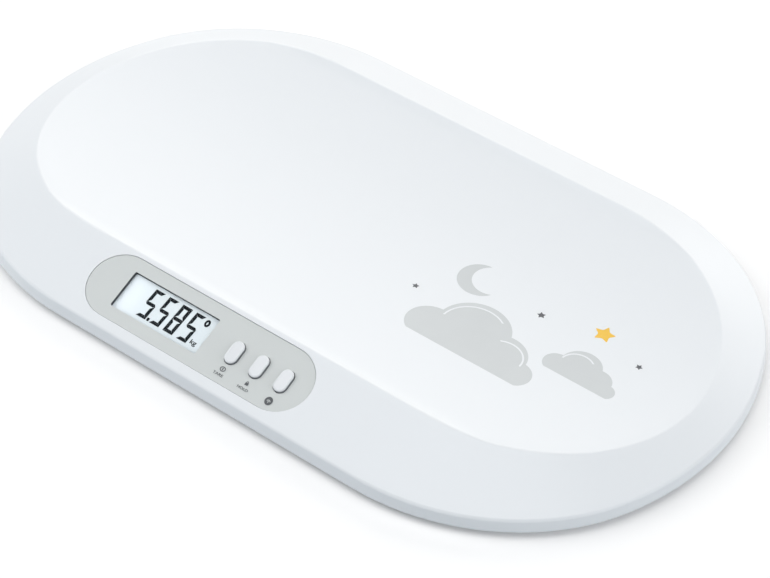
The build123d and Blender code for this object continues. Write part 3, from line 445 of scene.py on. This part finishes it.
outer_bar = level_bar("outer_bar", waist=False)
waist_bar = level_bar("waist_bar", waist=True)
upright_length = bar_rise + bar_stroke / 2 - 2 * bar_gap
upright_middle = (bar_rise + bar_stroke / 2) / 2
upright_stretch = upright_length / (bar_reach + bar_stroke - 2 * bar_gap)
bar_places = {
    "a": (outer_bar, 0, bar_rise, 0, 1),
    "d": (outer_bar, 0, -bar_rise, 180, 1),
    "g": (waist_bar, 0, 0, 0, 1),
    "f": (outer_bar, -bar_reach / 2, upright_middle, 90, upright_stretch),
    "b": (outer_bar, bar_reach / 2, upright_middle, -90, upright_stretch),
    "e": (outer_bar, -bar_reach / 2, -upright_middle, 90, upright_stretch),
    "c": (outer_bar, bar_reach / 2, -upright_middle, -90, upright_stretch),
}
lit_bars = []
for middle_x, lit in zip(figure_places, figures):
    for letter in lit:
        pattern, x, y, turn, stretch = bar_places[letter]
        bar = pattern.copy()
        bar.data = pattern.data.copy()
        bpy.context.scene.collection.objects.link(bar)
        lean = math.degrees(figure_lean) if abs(turn) == 90 else 0
        bar.matrix_world = (
            Matrix.Translation(((middle_x + x + figure_lean * y) * mm, (figure_middle + y) * mm, 0))
            @ Matrix.Rotation(math.radians(turn - lean), 4, "Z")
            @ Matrix.Diagonal((stretch, 1, 1, 1))
        )
        settle(bar)
        lit_bars.append(bar)
for pattern in (outer_bar, waist_bar):
    bpy.data.objects.remove(pattern)
deselect()
bpy.ops.mesh.primitive_plane_add(size=mm, location=(point_x * mm, (figure_middle - bar_rise) * mm, 0))
point = bpy.context.object
point.scale = (point_width, bar_stroke, 1)
settle(point)
choose(point)
bpy.ops.object.mode_set(mode="EDIT")
bpy.ops.mesh.select_all(action="SELECT")
bpy.ops.mesh.bevel(offset=point_round * mm, affect="VERTICES", segments=3)
bpy.ops.object.mode_set(mode="OBJECT")
lit_bars.append(point)
display_figures = joined("display_figures", lit_bars)
thicken(display_figures, ink_height)
settle(display_figures, deck @ Matrix.Translation((0, 0, -glass_depth + ink_height)))
finish_ink(display_figures, liquid_black)


cap_share = 0.70  # of a line's size, the height of its capitals


def word(text, name, x, y, cap, width, weight=0.0):
    """Thin raised lettering, as wide as asked, with the middle of its capitals at x, y on the deck."""
    deselect()
    bpy.ops.object.text_add(location=(0, 0, 0))
    line = bpy.context.object
    line.data.body = text
    line.data.align_x = "CENTER"
    line.data.align_y = "CENTER"
    line.data.size = cap * mm / cap_share
    line.data.extrude = ink_height / 2
    line.data.offset = weight * mm
    bpy.ops.object.convert(target="MESH")
    line = bpy.context.object
    line.name = line.data.name = name
    bpy.ops.object.mode_set(mode="EDIT")
    bpy.ops.mesh.select_all(action="SELECT")
    bpy.ops.mesh.remove_doubles(threshold=0.0005 * mm)
    bpy.ops.mesh.normals_make_consistent(inside=False)
    bpy.ops.object.mode_set(mode="OBJECT")
    line.scale = (width * mm / line.dimensions.x, 1, 1)
    line.location = (x * mm, y * mm, 0)
    settle(line)
    return line


def ring(name, x, y, width, height, stroke):
    """A thin flat oval ring."""
    deselect()
    bpy.ops.mesh.primitive_circle_add(vertices=40, radius=mm / 2, fill_type="NGON", location=(0, 0, 0))
    band = bpy.context.object
    band.name = name
    band.scale = (width, height, 1)
    settle(band)
    choose(band)
    bpy.ops.object.mode_set(mode="EDIT")
    bpy.ops.mesh.select_all(action="SELECT")
    bpy.ops.mesh.inset(thickness=stroke * mm)
    bpy.ops.mesh.delete(type="FACE")
    bpy.ops.object.mode_set(mode="OBJECT")
    band.location = (x * mm, y * mm, 0)
    settle(band)
    return band


unit = word("kg", "display_unit", 0.4, -7.1, 3.1, 4.6, weight=0.1)
settle(unit, deck @ Matrix.Translation((0, 0, -glass_depth + ink_height / 2)))
finish_ink(unit, liquid_black)
signal_mark = ring("signal_mark", 0.3, 7.9, 3.9, 5.2, 1.45)
thicken(signal_mark, ink_height)
settle(signal_mark, deck @ Matrix.Translation((0, 0, -glass_depth + ink_height)))
finish_ink(signal_mark, liquid_black)

# Buttons. Three white domed keys of the same ABS as the tray, polished harder, each on its plunger over a
# switch. Their steep sides are painted dark grey: painted shade for the gap round the key.
painted_key_shade = (0.30, 0.31, 0.33, 1.0)

key_abs = moulded("key_abs", (0.79, 0.795, 0.80, 1.0), (0.78, 0.79, 0.795, 1.0), roughness=0.14, spread=0.05)
nodes, links = key_abs.node_tree.nodes, key_abs.node_tree.links
nodes["Principled BSDF"].inputs["Specular IOR Level"].default_value = 0.75
# Faces that turn away from the deck are painted dark grey: painted shade.
facing = nodes.new("ShaderNodeNewGeometry")
across = nodes.new("ShaderNodeVectorMath")
across.operation = "DOT_PRODUCT"
across.inputs[1].default_value = deck.to_3x3() @ Vector((0, 0, 1))
steep = nodes.new("ShaderNodeMapRange")
steep.inputs["From Min"].default_value = 0.05
steep.inputs["From Max"].default_value = 0.35
steep.inputs["To Min"].default_value = 1.0
steep.inputs["To Max"].default_value = 0.0
key_painted_shade = nodes.new("ShaderNodeMix")
key_painted_shade.data_type = "RGBA"
key_painted_shade.inputs["B"].default_value = painted_key_shade
links.new(facing.outputs["Normal"], across.inputs[0])
links.new(across.outputs["Value"], steep.inputs["Value"])
links.new(steep.outputs["Result"], key_painted_shade.inputs["Factor"])
links.new(nodes["Group"].outputs["Colour"], key_painted_shade.inputs["A"])
links.new(key_painted_shade.outputs["Result"], nodes["Principled BSDF"].inputs["Base Color"])
dress(key_abs, "power_tare_button", "hold_button", "wireless_button")

# Load cells and feet. A stamped steel cell sits in each corner pocket of the base; its cut-out tongue
# carries a glued gauge, and a plastic cup with a grey rubber pad pushes up on it.
plated_skin = bpy.data.node_groups.new("plated_skin", "ShaderNodeTree")
for label, kind in (
    ("Colour", "NodeSocketColor"), ("Tarnish", "NodeSocketColor"), ("Scale", "NodeSocketFloat"),
    ("Roughness", "NodeSocketFloat"),
):
    plated_skin.interface.new_socket(name=label, in_out="INPUT", socket_type=kind)
for label, kind in (("Colour", "NodeSocketColor"), ("Roughness", "NodeSocketFloat")):
    plated_skin.interface.new_socket(name=label, in_out="OUTPUT", socket_type=kind)
nodes, links = plated_skin.nodes, plated_skin.links
given = nodes.new("NodeGroupInput")
place = nodes.new("ShaderNodeTexCoord")
drawn = nodes.new("ShaderNodeMapping")
drawn.inputs["Scale"].default_value = (1.0, 12.0, 12.0)
streaks = nodes.new("ShaderNodeTexNoise")
streaks.inputs["Detail"].default_value = 4.0
stain = nodes.new("ShaderNodeTexNoise")
stain.inputs["Scale"].default_value = 45.0
spot = nodes.new("ShaderNodeMapRange")
spot.inputs["From Min"].default_value = 0.55
spot.inputs["From Max"].default_value = 0.75
tone = nodes.new("ShaderNodeMix")
tone.data_type = "RGBA"
gloss = nodes.new("ShaderNodeMath")
gloss.operation = "MULTIPLY_ADD"
gloss.inputs[1].default_value = 0.2
given_out = nodes.new("NodeGroupOutput")
links.new(place.outputs["Object"], drawn.inputs["Vector"])
links.new(place.outputs["Object"], stain.inputs["Vector"])
links.new(drawn.outputs["Vector"], streaks.inputs["Vector"])
links.new(given.outputs["Scale"], streaks.inputs["Scale"])
links.new(stain.outputs["Fac"], spot.inputs["Value"])
links.new(spot.outputs["Result"], tone.inputs["Factor"])
links.new(given.outputs["Colour"], tone.inputs["A"])
links.new(given.outputs["Tarnish"], tone.inputs["B"])
links.new(streaks.outputs["Fac"], gloss.inputs[0])
links.new(given.outputs["Roughness"], gloss.inputs[2])
links.new(tone.outputs["Result"], given_out.inputs["Colour"])
links.new(gloss.outputs["Value"], given_out.inputs["Roughness"])


def plated(name, colour, tarnish, roughness=0.25, streak=300.0):
    """Bare or plated metal: drawn streaks in its gloss and faint darker stains."""
    material = bpy.data.materials.new(name)
    material.use_nodes = True
    nodes, links = material.node_tree.nodes, material.node_tree.links
    surface = nodes["Principled BSDF"]
    surface.inputs["Metallic"].default_value = 1.0
    skin = nodes.new("ShaderNodeGroup")
    skin.node_tree = plated_skin
    skin.inputs["Colour"].default_value = colour
    skin.inputs["Tarnish"].default_value = tarnish
    skin.inputs["Scale"].default_value = streak
    skin.inputs["Roughness"].default_value = roughness
    links.new(skin.outputs["Colour"], surface.inputs["Base Color"])
    links.new(skin.outputs["Roughness"], surface.inputs["Roughness"])
    return material


corners = ("front_left", "front_right", "rear_left", "rear_right")
cell_steel = plated("cell_steel", (0.58, 0.59, 0.60, 1.0), (0.48, 0.48, 0.47, 1.0), roughness=0.28)
dress(cell_steel, *("load_cell_" + corner for corner in corners))
screw_zinc = plated("screw_zinc", (0.66, 0.67, 0.69, 1.0), (0.52, 0.53, 0.55, 1.0), roughness=0.2, streak=900.0)
dress(screw_zinc, "load_cell_screws", "board_screws", "housing_screws")
gauge_gel = moulded("gauge_gel", (0.80, 0.78, 0.70, 1.0), (0.70, 0.67, 0.58, 1.0), roughness=0.25, flow=300.0)
dress(gauge_gel, "strain_gauges")
cup_abs = moulded("cup_abs", (0.70, 0.72, 0.73, 1.0), (0.68, 0.70, 0.715, 1.0), roughness=0.45, grain=1500.0)
dress(cup_abs, *("foot_cup_" + corner for corner in corners))
pad_rubber = moulded(
    "pad_rubber", (0.17, 0.175, 0.18, 1.0), (0.21, 0.215, 0.22, 1.0), roughness=0.75, spread=0.2, flow=120.0,
    grain=900.0, relief=0.00008
)
dress(pad_rubber, *("foot_pad_" + corner for corner in corners))

# Main board. A green laminate with copper runs under its lacquer, screwed to bosses below the deck. It
# carries the switches, a black controller, a shielded radio module, sockets and small components.
board_green = (0.015, 0.12, 0.055, 1.0)
run_green = (0.03, 0.20, 0.09, 1.0)
board_laminate = moulded(
    "board_laminate", board_green, (0.012, 0.10, 0.048, 1.0), roughness=0.3, flow=60.0, relief=0.00001
)
nodes, links = board_laminate.node_tree.nodes, board_laminate.node_tree.links
place = nodes.new("ShaderNodeTexCoord")
on_board = nodes.new("ShaderNodeMapping")
on_board.vector_type = "TEXTURE"
on_board.inputs["Rotation"].default_value = (deck_slope, 0.0, 0.0)
runs = nodes.new("ShaderNodeTexBrick")
runs.inputs["Scale"].default_value = 110.0
runs.inputs["Mortar Size"].default_value = 0.035
runs.inputs["Brick Width"].default_value = 1.7
runs.inputs["Row Height"].default_value = 0.24
with_runs = nodes.new("ShaderNodeMix")
with_runs.data_type = "RGBA"
with_runs.inputs["B"].default_value = run_green
links.new(place.outputs["Object"], on_board.inputs["Vector"])
links.new(on_board.outputs["Vector"], runs.inputs["Vector"])
links.new(runs.outputs["Fac"], with_runs.inputs["Factor"])
links.new(nodes["Group"].outputs["Colour"], with_runs.inputs["A"])
links.new(with_runs.outputs["Result"], nodes["Principled BSDF"].inputs["Base Color"])
dress(board_laminate, "main_board")
chip_resin = moulded(
    "chip_resin", (0.02, 0.02, 0.022, 1.0), (0.03, 0.03, 0.032, 1.0), roughness=0.5, flow=200.0
)
dress(chip_resin, "controller_chip", "board_components")
shield_tin = plated("shield_tin", (0.62, 0.62, 0.60, 1.0), (0.52, 0.51, 0.48, 1.0), roughness=0.3)
dress(shield_tin, "wireless_module")
socket_nylon = moulded("socket_nylon", (0.78, 0.76, 0.68, 1.0), (0.74, 0.71, 0.63, 1.0), roughness=0.45)
dress(socket_nylon, "lead_sockets")
switch_resin = moulded("switch_resin", (0.03, 0.031, 0.034, 1.0), (0.045, 0.046, 0.05, 1.0), roughness=0.4)
plunger_nylon = moulded("plunger_nylon", (0.72, 0.70, 0.62, 1.0), (0.68, 0.66, 0.58, 1.0), roughness=0.4)
for key in ("power_tare", "hold", "wireless"):
    dress(switch_resin, key + "_switch")
    dress(plunger_nylon, key + "_plunger")

# Leads. Four tinned wires in PVC for each load cell, drawn as one thin flex, and a pair from the battery
# bay, all of which lie on the base's floor.
lead_pvc = moulded("lead_pvc", (0.62, 0.63, 0.64, 1.0), (0.56, 0.57, 0.585, 1.0), roughness=0.4, flow=90.0)
dress(lead_pvc, "load_cell_leads")
battery_lead_pvc = moulded(
    "battery_lead_pvc", (0.42, 0.02, 0.02, 1.0), (0.36, 0.015, 0.015, 1.0), roughness=0.4
)
dress(battery_lead_pvc, "battery_leads")

# Batteries. Three plain AAA cells in printed jackets lie in the bay behind the door, between nickel-plated
# springs and plates at both ends.
jacket_plain = (0.10, 0.20, 0.33, 1.0)
jacket_band = (0.70, 0.71, 0.72, 1.0)
band_middle = 15.5 * mm  # from the middle of a cell, towards both its ends
band_reach = 5.5 * mm
jacket_film = moulded("jacket_film", jacket_plain, (0.12, 0.22, 0.35, 1.0), roughness=0.25, flow=200.0)
nodes, links = jacket_film.node_tree.nodes, jacket_film.node_tree.links
place = nodes.new("ShaderNodeTexCoord")
along = nodes.new("ShaderNodeSeparateXYZ")
band = nodes.new("ShaderNodeMath")
band.operation = "COMPARE"
band.inputs[1].default_value = band_middle
band.inputs[2].default_value = band_reach
banded = nodes.new("ShaderNodeMix")
banded.data_type = "RGBA"
banded.inputs["B"].default_value = jacket_band
reach = nodes.new("ShaderNodeMath")
reach.operation = "ABSOLUTE"
links.new(place.outputs["Object"], along.inputs["Vector"])
links.new(along.outputs["X"], reach.inputs[0])
links.new(reach.outputs["Value"], band.inputs[0])
links.new(band.outputs["Value"], banded.inputs["Factor"])
links.new(nodes["Group"].outputs["Colour"], banded.inputs["A"])
links.new(banded.outputs["Result"], nodes["Principled BSDF"].inputs["Base Color"])
dress(jacket_film, "battery_cell_1", "battery_cell_2", "battery_cell_3")
contact_nickel = plated("contact_nickel", (0.68, 0.66, 0.62, 1.0), (0.56, 0.54, 0.50, 1.0), roughness=0.2)
dress(contact_nickel, "contact_bridge_left", "contact_bridge_right", "contact_negative", "contact_positive")

# Signs on the fascia. Dark grey screen print below each key: a power ring over TARE, a padlock over HOLD,
# and a dark disc with a signal mark left light in it.
sign_ink = moulded("sign_ink", (0.075, 0.08, 0.085, 1.0), (0.10, 0.105, 0.11, 1.0), roughness=0.5, flow=300.0)
sign_depth = 0.2 * mm  # of the fascia's face below the rim's surface


def field(name, x, y, width, height, corners=4):
    """A thin flat patch with straight or round sides."""
    deselect()
    bpy.ops.mesh.primitive_circle_add(
        vertices=corners, radius=mm / 2, fill_type="NGON", location=(0, 0, 0),
        rotation=(0, 0, math.pi / 4 if corners == 4 else 0)
    )
    patch = bpy.context.object
    patch.name = name
    settle(patch)
    spread = math.sqrt(2) if corners == 4 else 1
    patch.scale = (width * spread, height * spread, 1)
    patch.location = (x * mm, y * mm, 0)
    settle(patch)
    return patch


def keep_above(piece, level):
    """Cuts a flat piece along X and keeps what lies above the cut."""
    choose(piece)
    bpy.ops.object.mode_set(mode="EDIT")
    bpy.ops.mesh.select_all(action="SELECT")
    bpy.ops.mesh.bisect(plane_co=(0, level * mm, 0), plane_no=(0, 1, 0), clear_inner=True)
    bpy.ops.object.mode_set(mode="OBJECT")


def print_on_fascia(name, pieces, layer=1):
    """Joins flat pieces to one sign and lays it on the fascia, as one layer of ink or over another."""
    sign = joined(name, pieces)
    thicken(sign, ink_height)
    settle(sign, deck @ Matrix.Translation((0, 0, -sign_depth + layer * ink_height)))
    return sign


power_x, power_y = 28.9, -12.9  # mm along and up the deck, as are all the places below
hold_x, shackle_y, lock_y = 47.7, -12.6, -13.6
wireless_x, disc_y, wave_y = 66.1, -15.75, -16.55
power_sign = print_on_fascia("power_sign", [
    ring("power_ring", power_x, power_y, 3.9, 3.4, 0.48), field("power_bar", power_x, power_y, 0.5, 1.7)
])
finish_ink(power_sign, sign_ink)
shackle = ring("shackle", hold_x, shackle_y, 1.55, 1.9, 0.36)
keep_above(shackle, shackle_y - 0.2)
hold_sign = print_on_fascia("hold_sign", [shackle, field("lock_body", hold_x, lock_y, 2.2, 1.75)])
finish_ink(hold_sign, sign_ink)
wireless_disc = print_on_fascia("wireless_disc", [field("disc", wireless_x, disc_y, 5.2, 5.7, corners=40)])
finish_ink(wireless_disc, sign_ink)
waves = []
for width in (1.5, 2.9):
    wave = ring("wave", wireless_x, wave_y, width, width * 1.1, 0.42)
    keep_above(wave, wave_y + 0.5)
    waves.append(wave)
waves.append(field("wave_root", wireless_x, wave_y, 0.7, 0.75, corners=16))
wireless_mark = print_on_fascia("wireless_mark", waves, layer=2)
finish_ink(wireless_mark, fascia_pc)
for text, name, x, y, width in (
    ("TARE", "tare_word", 28.2, -17.1, 7.4), ("HOLD", "hold_word", 47.2, -17.3, 7.9)
):
    lettering = word(text, name, x, y, 1.8, width, weight=0.01)
    settle(lettering, deck @ Matrix.Translation((0, 0, -sign_depth + ink_height / 2)))
    finish_ink(lettering, sign_ink)

# Print on the pan. A pad-printed night sky of two clouds, a moon and stars, in thin ink that follows the
# pan's hollow, with fine lines left white.
cloud_ink = moulded("cloud_ink", (0.62, 0.635, 0.63, 1.0), (0.59, 0.605, 0.60, 1.0), roughness=0.38, flow=60.0)
star_ink = moulded("star_ink", (0.90, 0.55, 0.055, 1.0), (0.88, 0.52, 0.05, 1.0), roughness=0.38, flow=60.0)
dark_ink = moulded("dark_ink", (0.07, 0.072, 0.08, 1.0), (0.09, 0.092, 0.10, 1.0), roughness=0.38, flow=60.0)
print_lift = 0.05 * mm
print_foot, print_head = -80, 40  # mm, the part of the pan that the print lies on
strip_pitch = 5  # mm between the folds that let a print follow the pan
blank_level = 50  # mm above the floor, where the blanks of the print are cut
blank_height = 4
lift_clear = 60  # so that a print comes down on the pan from above its crest


def puck(x, y, radius):
    """A round blank for a print, above the pan."""
    deselect()
    bpy.ops.mesh.primitive_cylinder_add(
        vertices=72, radius=radius * mm, depth=blank_height * mm, location=(x * mm, y * mm, blank_level * mm)
    )
    settle(bpy.context.object)
    return bpy.context.object


def combine(piece, others, operation):
    """Adds the other blanks to a piece, or cuts them out of it, one after another."""
    for other in others:
        choose(piece)
        step = piece.modifiers.new("combine", "BOOLEAN")
        step.operation = operation
        step.solver = "EXACT"
        step.object = other
        bpy.ops.object.modifier_apply(modifier=step.name)
        bpy.data.objects.remove(other)
    return piece


def lay_on_pan(piece, name, material, layer=1):
    """Keeps a flat piece's upper face, folds it in strips and lays it on the pan as a skin of ink."""
    piece.name = piece.data.name = name
    choose(piece)
    bpy.ops.object.mode_set(mode="EDIT")
    if any(face.normal.z < 0.5 for face in piece.data.polygons):
        pick(piece, lambda face: face.normal.z < 0.5, kind="FACE")
        bpy.ops.mesh.delete(type="FACE")
    bpy.ops.mesh.select_all(action="SELECT")
    bpy.ops.mesh.dissolve_limited(angle_limit=math.radians(0.5))
    for level in range(print_foot, print_head, strip_pitch):
        bpy.ops.mesh.select_all(action="SELECT")
        bpy.ops.mesh.bisect(plane_co=(0, level * mm, 0), plane_no=(0, 1, 0))
    bpy.ops.object.mode_set(mode="OBJECT")
    settle(piece, Matrix.Translation((0, 0, lift_clear * mm)))
    wrap = piece.modifiers.new("lay", "SHRINKWRAP")
    wrap.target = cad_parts["tray_shell"]
    wrap.wrap_method = "PROJECT"
    wrap.use_project_z = True
    wrap.use_negative_direction = True
    wrap.use_positive_direction = False
    wrap.offset = print_lift * layer
    choose(piece)
    bpy.ops.object.modifier_apply(modifier=wrap.name)
    skin = piece.modifiers.new("ink", "SOLIDIFY")
    skin.thickness = print_lift * (layer + 0.5)
    skin.offset = -1.0
    bpy.ops.object.modifier_apply(modifier=skin.name)
    finish_ink(piece, material)


def cloud(name, x, y, size):
    """A cloud with a level foot, made of overlapping rounds. All measures are shares of its size."""
    puffs = [puck(x + size * px, y + size * py, size * r) for px, py, r in (
        (-0.06, 0.10, 0.27), (-0.32, -0.06, 0.18), (0.22, 0.0, 0.20), (0.40, -0.10, 0.13)
    )]
    deselect()
    bpy.ops.mesh.primitive_cube_add(
        size=mm, location=((x + 0.04 * size) * mm, (y - 0.14 * size) * mm, blank_level * mm)
    )
    foot = bpy.context.object
    foot.scale = (0.70 * size, 0.18 * size, blank_height)
    settle(foot)
    body = combine(puffs[0], puffs[1:] + [foot], "UNION")
    choose(body)
    bpy.ops.object.mode_set(mode="EDIT")
    bpy.ops.mesh.select_all(action="SELECT")
    bpy.ops.mesh.bisect(
        plane_co=(0, (y - 0.21 * size) * mm, 0), plane_no=(0, 1, 0), clear_inner=True, use_fill=True
    )
    bpy.ops.object.mode_set(mode="OBJECT")
    lay_on_pan(body, name, cloud_ink)


star_waist = 0.52  # of a star's reach, the reach of the corners between its points


def star(name, x, y, size, material, turn=0.0):
    """A five-pointed star with rounded points."""
    deselect()
    bpy.ops.mesh.primitive_circle_add(vertices=10, radius=size * mm / 2, fill_type="NGON", location=(0, 0, 0))
    piece = bpy.context.object
    choose(piece)
    bpy.ops.object.mode_set(mode="EDIT")
    pick(piece, lambda corner: corner.index % 2 == 1)
    bpy.ops.transform.resize(value=(star_waist, star_waist, 1), center_override=(0, 0, 0))
    bpy.ops.mesh.select_all(action="SELECT")
    bpy.ops.mesh.bevel(offset=size * 0.06 * mm, affect="VERTICES", segments=4)
    bpy.ops.object.mode_set(mode="OBJECT")
    piece.rotation_euler = (0, 0, turn)
    piece.location = (x * mm, y * mm, 0)
    settle(piece)
    lay_on_pan(piece, name, material)


# Each place and size below is in mm, seen from above.
cloud("cloud_large", 108.0, -40.0, 90.0)
cloud("cloud_small", 175.0, -20.0, 50.0)
star("star_yellow", 168.0, 19.0, 15.0, star_ink, turn=0.12)
star("star_dark_left", 52.0, -22.0, 5.0, dark_ink, turn=0.3)
star("star_dark_right", 200.0, 8.0, 5.0, dark_ink, turn=-0.2)
star("star_dark_middle", 128.0, 8.0, 6.0, dark_ink, turn=0.5)
for name, x, y, size, turn in (
    ("cloud_line_large", 102.0, -32.0, 43.0, 0.5), ("cloud_line_right", 129.5, -41.0, 29.0, -0.5),
    ("cloud_line_small", 170.0, -17.0, 23.0, 0.4),
):
    line = ring(name, 0, 0, size, size, 1.1)
    keep_above(line, size * 0.22)
    settle(line, Matrix.Translation((x * mm, y * mm, 0)) @ Matrix.Rotation(turn, 4, "Z"))
    lay_on_pan(line, name, tray_abs, layer=2)
moon = combine(puck(80.0, 10.0, 15.0), [puck(86.5, 14.0, 13.0)], "DIFFERENCE")
lay_on_pan(moon, "moon", cloud_ink)
